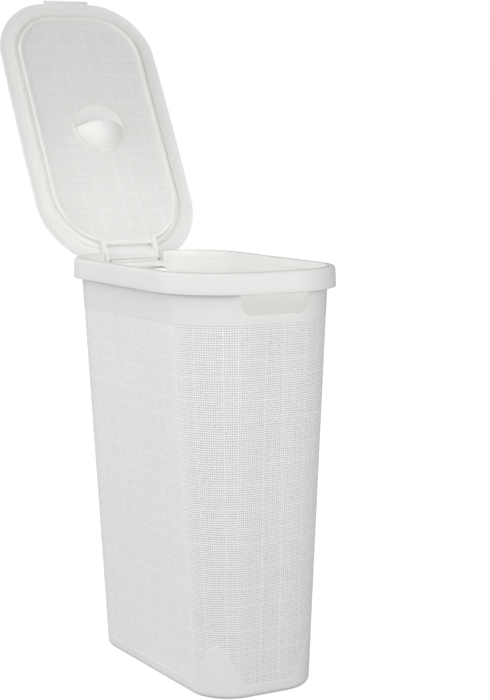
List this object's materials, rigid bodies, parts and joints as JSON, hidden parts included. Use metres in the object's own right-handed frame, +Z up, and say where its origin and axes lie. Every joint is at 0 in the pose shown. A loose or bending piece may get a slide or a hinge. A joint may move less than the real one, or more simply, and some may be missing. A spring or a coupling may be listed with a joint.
{
  "type": "laundry hamper",
  "caption": "Slim tapered laundry hamper with a woven-look body, a rim frame with two handle openings, and a hinged lid with a finger cup, shown open.",
  "frame": {"origin": "middle of the tub's flat underside, on the floor", "axes": "+Z up; +Y to the back, where the hinge is; +X to the right seen from the front"},
  "size_m": [0.2624, 0.674, 0.9627],
  "materials": {
    "tub": "satin, woven relief",
    "rim": "satin, smooth",
    "hinge": "satin, smooth",
    "pin": "satin, smooth",
    "lid": "satin, woven relief in the panel",
    "cup": "satin, smooth"
  },
  "bodies": {
    "tub_body": {"tub": "tub", "rim_frame": "rim", "hinge_bracket": "hinge", "hinge_pin_left": "pin", "hinge_pin_right": "pin"},
    "lid_body": {"lid": "lid", "finger_cup": "cup"}
  },
  "joints": [
    {"name": "lid_hinge", "type": "hinge", "parent": "tub_body", "child": "lid_body", "pos_m": [0, 0.22, 0.571], "axis": [1, 0, 0], "range_deg": [0, 119]}
  ]
}
